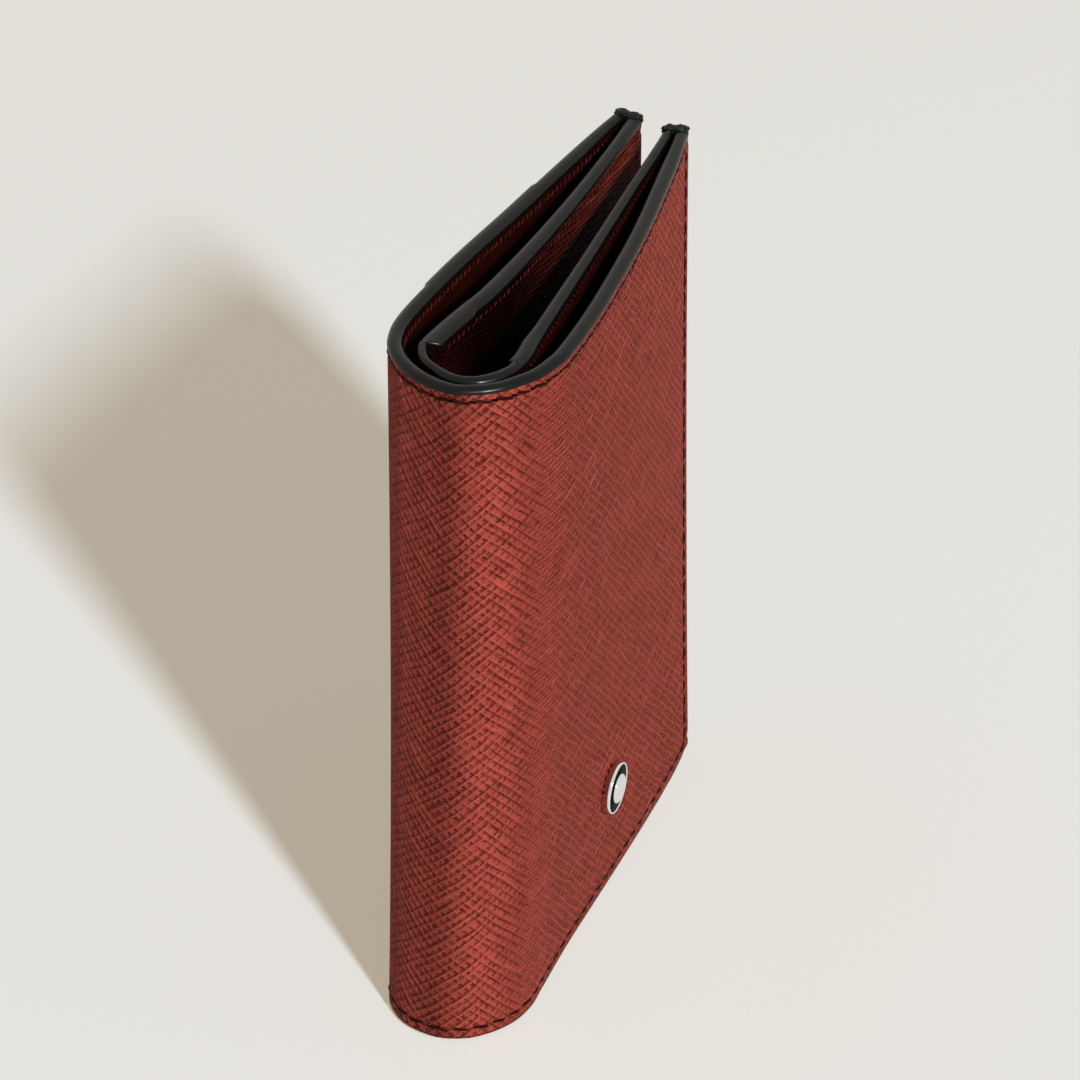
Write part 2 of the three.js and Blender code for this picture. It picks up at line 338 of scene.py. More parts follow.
def speckle(tree, vector, scale, detail=2.0, roughness=0.5, output="Fac"):
    inputs = {"Vector": vector, "Scale": scale, "Detail": detail, "Roughness": roughness}
    return add(tree, "ShaderNodeTexNoise", inputs).outputs[output]


def own_place(tree):
    """A place on the object, in metres in the object's frame."""
    return add(tree, "ShaderNodeTexCoord").outputs["Object"]


def mapped(tree, vector, scale, **turns):
    inputs = {"Vector": vector, "Scale": scale, **turns}
    return add(tree, "ShaderNodeMapping", inputs).outputs[0]


def across_of(tree, vector):
    return add(tree, "ShaderNodeSeparateXYZ", {0: vector}).outputs["X"]


def scaled(tree, vector, factor):
    return add(tree, "ShaderNodeVectorMath", {0: vector, "Scale": factor}, operation="SCALE").outputs[0]


def shifted(tree, vector, cloud, amount):
    """The vector pushed about by a noise colour, by up to half the amount each way."""
    centred = add(tree, "ShaderNodeVectorMath", {0: cloud, 1: (0.5, 0.5, 0.5)}, operation="SUBTRACT")
    push = scaled(tree, centred.outputs[0], amount)
    return add(tree, "ShaderNodeVectorMath", {0: vector, 1: push}, operation="ADD").outputs[0]


def mixed(tree, factor, first, second):
    """A colour between two colours."""
    node = add(tree, "ShaderNodeMix", data_type="RGBA")
    sockets = {socket.name: socket for socket in node.inputs if socket.enabled}
    tree.links.new(factor, sockets["Factor"])
    sockets["A"].default_value = (*first, 1)
    sockets["B"].default_value = (*second, 1)
    return [socket for socket in node.outputs if socket.enabled][0]


def link_looks(tree, shader, colour, shade, gloss=None, height_map=None, strength=1.0, distance=0.0001):
    """Links a shaded colour to the shader, and a roughness and a relief if they are given."""
    tree.links.new(scaled(tree, colour, shade), shader.inputs["Base Color"])
    if gloss is not None:
        tree.links.new(gloss, shader.inputs["Roughness"])
    if height_map is not None:
        inputs = {"Strength": strength, "Distance": distance, "Height": height_map}
        relief = add(tree, "ShaderNodeBump", inputs)
        tree.links.new(relief.outputs[0], shader.inputs["Normal"])


def raised_lines(tree, place, angle, pitch, lean, faintest, seed):
    """Thin ridges at an angle and a pitch, and the broken shade along one side of each, as two
    values from 0 to 1. Lean is how far to the side the shade falls, in pitches, and faintest is
    the shade where it is broken."""
    drift_stretch, break_stretch = (0.9, 0.12, 1), (1.1, 0.42, 1)
    drift_most, ridge_half = 0.26, 0.24
    turned = mapped(tree, place, (1 / pitch, 1 / pitch, 1), Location=(seed, 0, 0),
                    Rotation=(0, 0, math.radians(angle)))
    drift = speckle(tree, mapped(tree, turned, drift_stretch), 1.0, 1.0)
    drift = spread(tree, drift, 0.2, 0.8, -drift_most, drift_most)
    across = math_of(tree, "ADD", across_of(tree, turned), drift)
    fade = speckle(tree, mapped(tree, turned, break_stretch), 1.3, 2.0)
    ridge = spread(tree, math_of(tree, "PINGPONG", across, 0.5), 0.0, ridge_half, 1.0, 0.0, True)
    ridge = times(tree, ridge, spread(tree, fade, 0.3, 0.6, 0.6, 1.0))
    beside = math_of(tree, "PINGPONG", math_of(tree, "ADD", across, lean), 0.5)
    shade = spread(tree, beside, 0.08, 0.3, 1.0, 0.0, True)
    shade = times(tree, shade, spread(tree, fade, 0.34, 0.6, faintest, 1.0))
    return ridge, shade


def hide_grain(tree, place, from_nose, on_cover):
    """The ridges of the grain, their shade, and the fine ones alone. In front of the nose the
    falling ridges run through, round it the rising ones, and behind it the falling ones again.
    On the covers fine and nearly upright ones take over."""
    rising, rising_shade = raised_lines(tree, place, *rising_ridges)
    falling, falling_shade = raised_lines(tree, place, *falling_ridges)
    fine, fine_shade = raised_lines(tree, place, *fine_ridges)
    off_cover = math_of(tree, "SUBTRACT", 1.0, times(tree, on_cover, 0.75))
    rising = times(tree, rising, off_cover)
    rising = times(tree, rising, spread(tree, from_nose, *front_change, 1.0, 0.3, True))
    rising = times(tree, rising, spread(tree, from_nose, *back_change, 0.45, 1.0, True))
    in_front = spread(tree, from_nose, *front_change, 0.4, 1.0, True)
    behind = spread(tree, from_nose, *back_change, 1.0, 0.4, True)
    falling = times(tree, falling, math_of(tree, "MAXIMUM", in_front, behind))
    fine = times(tree, fine, on_cover)
    ridges = math_of(tree, "MAXIMUM", math_of(tree, "MAXIMUM", rising, falling), fine)
    coarse_shade = times(tree, math_of(tree, "MAXIMUM", rising_shade, falling_shade), off_cover)
    fine_shade = times(tree, fine_shade, on_cover)
    shades = math_of(tree, "MAXIMUM", times(tree, coarse_shade, 0.78), fine_shade)
    return ridges, shades, fine


def painted_fold_light_and_shade(tree, from_nose, length):
    """Painted light and shade round the fold, as a factor on the colour: painted shade in a band
    beside the nose, a painted highlight in front of it, and painted light further round the back of the
    fold."""
    painted_highlight_centre, painted_shade_centre = 7.0, -0.8
    from_painted_highlight = math_of(tree, "ABSOLUTE", math_of(tree, "SUBTRACT", from_nose, painted_highlight_centre))
    from_painted_shade = math_of(tree, "ABSOLUTE", math_of(tree, "SUBTRACT", from_nose, painted_shade_centre))
    # Painted light behind the fold, a painted highlight in front of the nose, and painted shade in the
    # band beside it.
    behind = spread(tree, from_nose, -10.5, -5.5, 0.9, 0.0, True)
    light_and_shade = math_of(tree, "ADD", behind, spread(tree, from_painted_highlight, 0.0, 6.5, 0.28, 0.0, True))
    light_and_shade = math_of(tree, "SUBTRACT", light_and_shade, spread(tree, from_painted_shade, 0.0, 5.0, 0.26, 0.0, True))
    at_fold = spread(tree, length, 12.0, 22.0, 1.0, 0.0, True)
    return math_of(tree, "ADD", times(tree, light_and_shade, at_fold), 1.0)


def cross_hatched_leather(name, pad, painted_shade_colour, roughness, sheen, painted_shade_darkest=1.0):
    """Leather with the cross-hatched grain, whose colour holds painted shade beside each ridge and
    painted highlight on it, and a dark needle furrow of painted shade along each seam, to which
    the seam attribute gives the distance. The last argument is the factor of painted shade at the
    spine on leather that stays inside, standing for the shade deep in the folds."""
    material, tree, shader = principled(name, pad, roughness, specular=0.012)
    shader.inputs["Sheen Weight"].default_value = sheen
    shader.inputs["Sheen Roughness"].default_value = 0.4
    shader.inputs["Sheen Tint"].default_value = (0.9, 0.17, 0.12, 1)
    unrolled = add(tree, "ShaderNodeUVMap", uv_map="hide").outputs[0]
    place = mapped(tree, unrolled, (1 / MM, 1 / MM, 1 / MM))
    from_nose = across_of(tree, place)
    length = math_of(tree, "ABSOLUTE", from_nose)
    on_cover = spread(tree, length, *fine_stretch, 0.0, 1.0, True)
    for scale, detail, push in ((0.09, 1.0, 0.9), (0.8, 2.0, 0.22)):
        cloud = speckle(tree, place, scale, detail, output="Color")
        place = shifted(tree, place, cloud, push)
    ridges, shades, fine = hide_grain(tree, place, from_nose, on_cover)
    pores = speckle(tree, place, 3.4, 3.0, 0.7)
    blotches = speckle(tree, place, 0.25, 3.0)

    # Painted shade: the colour darkens along the needle furrow of each seam.
    seam_away = add(tree, "ShaderNodeAttribute", attribute_name="seam").outputs["Fac"]
    ragged = math_of(tree, "ADD", seam_away, spread(tree, pores, 0.3, 0.7, -0.14, 0.14))
    furrow = spread(tree, ragged, 0.06, 0.3, 1.0, 0.0, True)
    # Depth carries painted shade into the colour, beside the ridges and in the furrows, and also lowers
    # the relief.
    depth = math_of(tree, "SUBTRACT", shades, times(tree, ridges, 0.7), True)
    depth = math_of(tree, "MAXIMUM", depth, times(tree, furrow, 0.85))

    uneven = math_of(tree, "ADD", blotches, times(tree, pores, 1.2))
    light = spread(tree, uneven, 0.8, 1.4, 0.78, 1.18)
    # Painted highlight on the ridges, and painted shade that makes the covers darker than the spine;
    # blotches and pores are the hide's own uneven tone.
    for value, share in ((ridges, 0.2), (fine, 0.5), (on_cover, -0.43)):
        light = math_of(tree, "ADD", light, times(tree, value, share))
    # Painted light and shade round the fold.
    light = times(tree, light, painted_fold_light_and_shade(tree, from_nose, length))
    # Painted shade: leather that stays inside is darkened towards the spine, standing for the shade deep
    # in the folds.
    if painted_shade_darkest < 1.0:
        light = times(tree, light, spread(tree, length, *painted_inner_shade_stretch, painted_shade_darkest, 1.0, True))

    gloss = spread(tree, pores, 0.3, 0.7, roughness - 0.07, roughness + 0.09)
    raised = math_of(tree, "ADD", ridges, times(tree, pores, 0.45))
    raised = math_of(tree, "SUBTRACT", raised, times(tree, depth, 0.5))
    link_looks(tree, shader, mixed(tree, depth, pad, painted_shade_colour), light, gloss, raised, distance=0.00026)
    return material


def smooth_leather(name, colour, roughness):
    """Plain lining leather with a soft natural grain."""
    material, tree, shader = principled(name, colour, roughness, specular=0.02)
    place = own_place(tree)
    pebbles = add(tree, "ShaderNodeTexVoronoi", {"Vector": place, "Scale": 1500.0}, feature="F1")
    creases = speckle(tree, place, 420.0, 4.0, 0.6)
    shade = spread(tree, creases, 0.3, 0.7, 0.72, 1.25)
    raised = math_of(tree, "SUBTRACT", creases, pebbles.outputs["Distance"])
    link_looks(tree, shader, colour, shade, None, raised, 0.5)
    return material


def edge_paint(name, colour, roughness, grit, specular):
    """Several coats of satin paint, sanded and not quite level."""
    material, tree, shader = principled(name, colour, roughness, specular=specular)
    place = own_place(tree)
    waves = speckle(tree, place, 260.0, 2.0)
    dust = speckle(tree, place, 2600.0, 3.0, 0.7)
    shade = spread(tree, dust, 0.3, 0.75, 0.8, 1.35)
    gloss = spread(tree, dust, 0.25, 0.75, roughness - 0.05, roughness + 0.08)
    raised = math_of(tree, "ADD", waves, times(tree, dust, grit))
    link_looks(tree, shader, colour, shade, gloss, raised, 0.6)
    return material


def waxed_thread(name, colour, roughness):
    """Twisted thread: light along the strands and dark between them."""
    material, tree, shader = principled(name, colour, roughness, specular=0.03)
    place = own_place(tree)
    strands = speckle(tree, place, 3400.0, 2.0)
    shade = spread(tree, strands, 0.3, 0.7, 0.45, 1.4)
    link_looks(tree, shader, colour, shade, None, strands, 0.7)
    return material


def plated_metal(name, colour, roughness, scratch_scale):
    """Metal whose gloss changes a little where it has been handled."""
    material, tree, shader = principled(name, colour, roughness, metallic=1.0)
    place = own_place(tree)
    smears = speckle(tree, place, scratch_scale, 3.0)
    gloss = spread(tree, smears, 0.35, 0.75, roughness * 0.8, roughness * 1.7)
    shade = spread(tree, smears, 0.3, 0.7, 0.97, 1.02)
    link_looks(tree, shader, colour, shade, gloss)
    return material


# The leather's shape

def smooth(points):
    """A smooth curve through points, as an array with steps_per_point rows for each span."""
    given = np.array(points, float)
    padded = np.vstack([given[:1], given, given[-1:]])
    share = np.linspace(0, 1, steps_per_point, endpoint=False)[:, None]
    spans = []
    for i in range(len(given) - 1):
        before, start, end, after = padded[i:i + 4]
        leaving, arriving = (end - before) / 2, (after - start) / 2
        spans.append(
            (2 * start - 2 * end + leaving + arriving) * share ** 3
            + (-3 * start + 3 * end - 2 * leaving - arriving) * share ** 2
            + leaving * share
            + start
        )
    return np.vstack([*spans, given[-1:]])


def inward(points):
    """The unit normals of a plan curve that point into the fold."""
    ahead = np.vstack([points[1:], points[-1:]])
    behind = np.vstack([points[:1], points[:-1]])
    run = ahead - behind
    run = run / np.linalg.norm(run, axis=1)[:, None]
    return np.stack([-run[:, 1], run[:, 0]], axis=1)


def smoothstep(value, low, high):
    share = np.clip((np.asarray(value, float) - low) / (high - low), 0, 1)
    return share * share * (3 - 2 * share)


def cover_pared(along):
    """How thick a cover's layers are, as a share of their full thickness."""
    return 1 - (1 - cover_skive_share) * smoothstep(along, top_length - cover_skive_length, top_length)


def panel_pared(along):
    """A panel's depths are given as they are."""
    return np.ones_like(along)


def panel_width(side, along):
    """How thick a panel is with its paint, at places along the wallet."""
    places, widths = zip(*(front_panel_widths if side < 0 else back_panel_widths))
    return np.interp(along, places, widths)


def leaf(bottom, top, pared):
    """A leather surface between two plan curves, with its length measured from the nose."""
    middle = (bottom + top) / 2
    gaps = np.linalg.norm(np.diff(middle, axis=0), axis=1)
    length = np.concatenate([[0], np.cumsum(gaps)])
    length = length - length[nose_row * steps_per_point]
    return {"bottom": bottom, "top": top, "length": length, "pared": pared}


def plan_at(surface, z):
    share = 1 - (1 - min(max(z / height, 0), 1)) ** rise_share
    plan = surface["bottom"] * (1 - share) + surface["top"] * share
    back = plan[:nose_row * steps_per_point]
    back[:, 0] += back_reach * smoothstep(back[:, 0], back_reach_start, top_length)
    return plan


def inset(points, depth):
    return points + inward(points) * (depth * cover_pared(points[:, 0]))[:, None]


cover_top = smooth([(a * top_length, t * top_half_width) for a, t, _ in cover_shares])
cover_bottom = smooth(
    [(a * (top_length + nose_lean) - nose_lean, b * bottom_half_width) for a, _, b in cover_shares]
)
divider_ends = inset(cover_top, divider_start)[[0, -1]]
divider_top = smooth([
    (top_length, divider_ends[0][1]),
    *[(a * top_length, t * top_half_width) for a, t in divider_shares],
    (top_length, divider_ends[1][1]),
])
divider_bottom = inset(cover_bottom, divider_start)
cover = leaf(cover_bottom, cover_top, cover_pared)
divider = leaf(divider_bottom, divider_top, panel_pared)


def half_columns(surface, side, start=None, end=None):
    """The columns of one half of a surface, from the nose or a start to an end along it."""
    nose = nose_row * steps_per_point
    along = surface["top"][:, 0]
    columns = range(nose, len(along)) if side < 0 else range(0, nose + 1)
    return [i for i in columns
            if (start is None or along[i] >= start) and (end is None or along[i] <= end)]


def surface_points(surface, columns, z, depth):
    """Points in millimetres in the wallet's frame, on a surface's columns at one height."""
    plan = plan_at(surface, z)
    normal = inward(plan)
    deep = np.broadcast_to(depth, (len(columns),)) * surface["pared"](plan[columns, 0])
    moved = plan[columns] + normal[columns] * deep[:, None]
    return np.column_stack([moved[:, 0] - centre_along, moved[:, 1], np.full(len(columns), z)])


def sweep(name, surface, columns, rungs, material, marks=None):
    """A closed solid along a surface. Each rung has its height, outer and inner depth, from the
    bottom up, and the depths may change from column to column."""
    outer = [surface_points(surface, columns, z, a) for z, a, _ in rungs]
    inner = [surface_points(surface, columns, z, b) for z, _, b in rungs]
    rings = outer + inner[::-1]
    span = surface["length"][columns]
    rise = [z for z, _, _ in rungs]
    rises = rise + rise[::-1]
    width, loops = len(columns), len(rings)
    flat = [(s * MM, z * MM) for z in rises for s in span]
    at = lambda ring, column: (ring % loops) * width + column
    faces = [
        (at(r, c), at(r, c + 1), at(r + 1, c + 1), at(r + 1, c))
        for r in range(loops)
        for c in range(width - 1)
    ]
    for rung in range(len(rungs) - 1):
        first = [at(rung, 0), at(rung + 1, 0), at(loops - 2 - rung, 0), at(loops - 1 - rung, 0)]
        last = [face + width - 1 for face in first]
        faces += [tuple(first), tuple(last[::-1])]
    if marks is not None:
        marks = np.concatenate([*marks, *marks[::-1]])
    return piece(name, np.vstack(rings), faces, material, flat, marks)


def piece(name, points, faces, material, flat=None, marks=None):
    """An object at the origin from points in millimetres, smooth but for its sharp corners."""
    mesh = bpy.data.meshes.new(name)
    mesh.from_pydata([tuple(p) for p in np.asarray(points) * MM], [], faces)
    if flat is not None:
        layer = mesh.uv_layers.new(name="hide")
        corner = np.zeros(len(mesh.loops), int)
        mesh.loops.foreach_get("vertex_index", corner)
        layer.data.foreach_set("uv", np.array(flat, float)[corner].ravel())
    if marks is not None:
        layer = mesh.attributes.new("seam", "FLOAT", "POINT")
        layer.data.foreach_set("value", marks)
    mesh.polygons.foreach_set("use_smooth", [True] * len(mesh.polygons))
    mesh.set_sharp_from_angle(angle=math.radians(sharp_corner))
    mesh.materials.append(material)
    mesh.validate()
    made = bpy.data.objects.new(name, mesh)
    bpy.context.scene.collection.objects.link(made)
    return made


def sheet_heights():
    """Heights for a leather sheet, closer together at the seams."""
    close = 0.35
    edge = 4.2
    lower = np.arange(sheet_low, sheet_low + edge, close)
    upper = sheet_high - (lower - sheet_low)[::-1]
    middle = np.linspace(sheet_low + edge, sheet_high - edge, sheet_rows)
    return [float(z) for z in np.concatenate([lower, middle, upper])]


def seam_distance(z, along):
    """How far a place on a sheet is from the nearest seam."""
    rows = min(abs(z - seam_inset), abs(z - (height - seam_inset)))
    return np.minimum(rows, np.abs(along - (top_length - seam_inset)))


def sheet(name, surface, columns, depths, material, dips=(0, 0)):
    """A leather sheet between two depths. Dips are the shares of the seam's pull on each side."""
    rungs, marks = [], []
    for z in sheet_heights():
        away = seam_distance(z, plan_at(surface, z)[columns, 0])
        dip = seam_dip * np.exp(-((away / seam_spread) ** 2))
        rungs.append((z, depths[0] + dips[0] * dip, depths[1] - dips[1] * dip))
        marks.append(away)
    return sweep(name, surface, columns, rungs, material, marks)


def bead(low, high, outer, inner, turns=9):
    """Rungs of a rounded band from its straight side at one height to its crown at the other."""
    swelled_at, last_turn = 0.12, 80
    half = (inner - outer) / 2
    crown = rim_crown if high > low else -rim_crown
    rungs = [(low, outer + rim_swell, inner - rim_swell), (low + crown * swelled_at, outer, inner)]
    for turn in np.linspace(0, math.radians(last_turn), turns):
        step = half * (1 - math.cos(turn))
        rungs.append((high - crown * (1 - math.sin(turn)), outer + step, inner - step))
    return rungs


def top_rim(name, surface, columns, outer, inner, material):
    """A rounded band of paint over the top of a stack of leather from one depth to another."""
    return sweep(name, surface, columns, bead(height - rim_wrap, height, outer, inner), material)


def foot_rim(name, surface, columns, outer, inner, material):
    """The same band under the bottom edge, with its rounded side down."""
    return sweep(name, surface, columns, bead(foot_wrap, 0.0, outer, inner)[::-1], material)


# Seams

def random_between(tree, low, high, seed):
    """A number for each mark that the seed settles."""
    inputs = {2: low, 3: high, "Seed": seed}
    return add(tree, "FunctionNodeRandomValue", inputs, data_type="FLOAT").outputs[1]


def seam_tree(name, hole):
    """A geometry tree that lays one thread, or one flat dark ball of painted shade standing for a needle
    hole, at each pitch along its lines.
    """
    tree = bpy.data.node_groups.new(name, "GeometryNodeTree")
    tree.interface.new_socket("Lines", in_out="INPUT", socket_type="NodeSocketGeometry")
    for socket in ("Pitch", "Shift", "Length", "Thickness", "Arch", "Sink", "Slant"):
        tree.interface.new_socket(socket, in_out="INPUT", socket_type="NodeSocketFloat")
    tree.interface.new_socket("Seed", in_out="INPUT", socket_type="NodeSocketInt")
    tree.interface.new_socket("Finish", in_out="INPUT", socket_type="NodeSocketMaterial")
    tree.interface.new_socket("Marks", in_out="OUTPUT", socket_type="NodeSocketGeometry")
    given = tree.nodes.new("NodeGroupInput").outputs

    curve = add(tree, "GeometryNodeMeshToCurve", {"Mesh": given["Lines"]}).outputs["Curve"]
    past_every_end = 10.0
    trim = add(tree, "GeometryNodeTrimCurve", {"Curve": curve}, mode="LENGTH")
    tree.links.new(given["Shift"], trim.inputs[4])
    trim.inputs[5].default_value = past_every_end
    spaced = add(tree, "GeometryNodeResampleCurve", {"Curve": trim.outputs["Curve"]}, mode="LENGTH")
    tree.links.new(given["Pitch"], spaced.inputs["Length"])

    half = times(tree, given["Length"], 0.5)
    # A needle hole is drawn as a flattened dark ball of painted shade.
    if hole:
        ball = add(tree, "GeometryNodeMeshUVSphere", {"Segments": 8, "Rings": 4, "Radius": 0.5})
        flat = times(tree, given["Thickness"], 0.3)
        box = add(tree, "ShaderNodeCombineXYZ", {0: given["Length"], 1: given["Thickness"], 2: flat})
        shape = add(tree, "GeometryNodeTransform",
                    {"Geometry": ball.outputs["Mesh"], "Scale": box.outputs[0]}).outputs[0]
    else:
        low = times(tree, given["Sink"], -1.0)
        back = times(tree, half, -1.0)
        start = add(tree, "ShaderNodeCombineXYZ", {0: back, 2: low}).outputs[0]
        middle = add(tree, "ShaderNodeCombineXYZ", {2: given["Arch"]}).outputs[0]
        end = add(tree, "ShaderNodeCombineXYZ", {0: half, 2: low}).outputs[0]
        bow = add(tree, "GeometryNodeCurveQuadraticBezier",
                  {"Resolution": 7, "Start": start, "Middle": middle, "End": end})
        radius = times(tree, given["Thickness"], 0.5)
        ring = add(tree, "GeometryNodeCurvePrimitiveCircle", {"Resolution": 7, "Radius": radius})
        tube = add(tree, "GeometryNodeCurveToMesh",
                   {"Curve": bow.outputs[0], "Profile Curve": ring.outputs[0], "Fill Caps": True})
        shape = add(tree, "GeometryNodeSetShadeSmooth", {"Geometry": tube.outputs[0]}).outputs[0]

    run = tree.nodes.new("GeometryNodeInputTangent").outputs[0]
    outward = add(tree, "GeometryNodeInputNamedAttribute", {"Name": "outward"},
                  data_type="FLOAT_VECTOR")
    along = add(tree, "FunctionNodeAlignRotationToVector", {"Vector": run}, axis="X")
    upright = add(
        tree,
        "FunctionNodeAlignRotationToVector",
        {"Rotation": along.outputs[0], "Vector": outward.outputs["Attribute"]},
        axis="Z",
        pivot_axis="X",
    )
    turn = times(tree, given["Slant"], random_between(tree, *slant_spread, given["Seed"]))
    slant = add(tree, "ShaderNodeCombineXYZ", {2: turn}).outputs[0]
    leaning = add(
        tree,
        "FunctionNodeRotateRotation",
        {"Rotation": upright.outputs[0], "Rotate By": slant},
        rotation_space="LOCAL",
    )
    next_seed = math_of(tree, "ADD", given["Seed"], 1.0)
    size = random_between(tree, *size_spread, next_seed)
    laid = add(
        tree,
        "GeometryNodeInstanceOnPoints",
        {"Points": spaced.outputs["Curve"], "Instance": shape, "Rotation": leaning.outputs[0],
         "Scale": size},
    )
    real = add(tree, "GeometryNodeRealizeInstances", {"Geometry": laid.outputs[0]}).outputs[0]
    coated = add(tree, "GeometryNodeSetMaterial", {"Geometry": real, "Material": given["Finish"]})
    leave = tree.nodes.new("NodeGroupOutput")
    tree.links.new(coated.outputs[0], leave.inputs[0])
    return tree


def seam(name, tree, lines, sizes, finish):
    """Threads, or dark balls of painted shade for needle holes, along lines of (points, outward
    normals), as one plain mesh.
    """
    points, ups, edges = [], [], []
    for line, normals in lines:
        first = len(points)
        points += [tuple(p) for p in np.asarray(line) * MM]
        ups += [tuple(n) for n in normals]
        edges += [(i, i + 1) for i in range(first, len(points) - 1)]
    mesh = bpy.data.meshes.new(name + "_line")
    mesh.from_pydata(points, edges, [])
    outward = mesh.attributes.new("outward", "FLOAT_VECTOR", "POINT")
    outward.data.foreach_set("vector", np.array(ups, float).ravel())
    guide = bpy.data.objects.new(name + "_line", mesh)
    bpy.context.scene.collection.objects.link(guide)
    modifier = guide.modifiers.new("marks", "NODES")
    modifier.node_group = tree
    for socket in tree.interface.items_tree:
        if socket.in_out == "INPUT" and socket.name in sizes:
            modifier[socket.identifier] = sizes[socket.name]
        if socket.in_out == "INPUT" and socket.name == "Finish":
            modifier[socket.identifier] = finish
    bpy.context.view_layer.update()
    evaluated = guide.evaluated_get(bpy.context.evaluated_depsgraph_get())
    result = bpy.data.meshes.new_from_object(evaluated)
    result.name = name
    guide.modifiers.clear()
    bpy.data.objects.remove(guide)
    made = bpy.data.objects.new(name, result)
    bpy.context.scene.collection.objects.link(made)
    return made


def seam_line(surface, side, stops, depth, outside):
    """A seam through stops of (along, height) on one half of a surface, at a depth that may
    change along it. Outside is 1 for the outer face and -1 for the inner one."""
    step = 0.5
    nose = nose_row * steps_per_point
    line, normals = [], []
    for (along_a, z_a), (along_b, z_b) in zip(stops, stops[1:]):
        length = math.hypot(along_b - along_a, z_b - z_a)
        count = max(int(length / step), 1)
        for share in np.arange(count) / count:
            reach = along_a + (along_b - along_a) * share
            z = z_a + (z_b - z_a) * share
            plan = plan_at(surface, z)
            into = inward(plan)
            half = list(range(nose, len(plan)) if side < 0 else range(nose, -1, -1))
            run = np.abs(surface["length"][half])
            x = np.interp(reach, run, plan[half, 0])
            y = np.interp(reach, run, plan[half, 1])
            normal = np.array([np.interp(reach, run, into[half, k]) for k in (0, 1)])
            normal /= np.linalg.norm(normal)
            deep = (depth(x) if callable(depth) else depth) * float(surface["pared"](np.array([x]))[0])
            line.append((x + normal[0] * deep - centre_along, y + normal[1] * deep, z))
            normals.append((-outside * normal[0], -outside * normal[1], 0))
    return line, normals


# Pieces

def bend(made):
    """Bakes a piece's placement into its points."""
    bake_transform(made)


def edge_end(side, z):
    """The outside of a cover at its free edge, and the way into the fold there."""
    plan = plan_at(cover, z)
    at = -1 if side < 0 else 0
    return plan[at], inward(plan)[at]


def edge_depth(side):
    """How thick one wing is at its free edge."""
    return divider_start * cover_skive_share + float(panel_width(side, top_length))


def free_rim(name, side, material):
    """The painted free edge of one wing: one lobe for the cover and one for the pocket layers.
    Each lobe bulges out of a flat coat, and both close in at the two ends."""
    skin, lobe_shift, flat_share, sunk = 0.25, 0.12, 0.16, 0.15
    foot_levels, head_gaps, plain_gap = (0.25, 0.4, 0.9), (1.0, 0.6, 0.3, 0.1), 2.0
    foot_close, head_close = (0.2, 0.7), (height - 0.8, height)
    middle = divider_start * cover_skive_share - lobe_shift
    deep = edge_depth(side)
    bulge = top_length - free_edge_along
    levels = [*foot_levels, *np.linspace(plain_gap, height - plain_gap, sheet_rows)]
    levels += [height - gap for gap in head_gaps]
    lobe = np.linspace(0, math.pi, 13)
    ends = [(0, skin)]
    for low, high, turns in ((skin, middle, lobe), (middle, deep, lobe[1:])):
        ends += [(math.sin(turn), low + (high - low) * (1 - math.cos(turn)) / 2) for turn in turns]
    ends.append((0, deep))
    points, faces = [], []
    rows, width = len(levels), len(ends)
    for z in levels:
        end, into = edge_end(side, z)
        near_top = float(smoothstep(z, *head_close))
        near_floor = 1 - float(smoothstep(z, *foot_close))
        close = 1 - 0.6 * near_top - 0.5 * near_floor
        for k, (push, depth) in enumerate(ends):
            spread_depth = deep / 2 + (depth - deep / 2) * close ** 0.5
            along = free_edge_along + bulge * (flat_share + (1 - flat_share) * push) * close
            if k in (0, width - 1):
                along = free_edge_along - sunk
            here = end + np.array([along - top_length, 0.0]) + into * spread_depth
            points.append((here[0] - centre_along, here[1], z))
    at = lambda row, column: row * width + column % width
    for row in range(rows - 1):
        for column in range(width):
            quad = (at(row, column), at(row, column + 1), at(row + 1, column + 1), at(row + 1, column))
            faces.append(quad if side < 0 else quad[::-1])
    bottom = tuple(at(0, c) for c in range(width))
    top = tuple(at(rows - 1, c) for c in range(width))
    faces += [bottom[::-1], top] if side < 0 else [bottom, top[::-1]]
    return piece(name, points, faces, material)


def ringed_faces(rings, around):
    """Faces of a closed skin over rings of points, with its low and its high pole at the end."""
    faces = []
    for ring in range(rings - 1):
        here, above = ring * around, (ring + 1) * around
        for k in range(around):
            n = (k + 1) % around
            faces.append((here + k, here + n, above + n, above + k))
    low, high, last = rings * around, rings * around + 1, (rings - 1) * around
    for k in range(around):
        n = (k + 1) % around
        faces += [(low, n, k), (high, last + k, last + n)]
    return faces


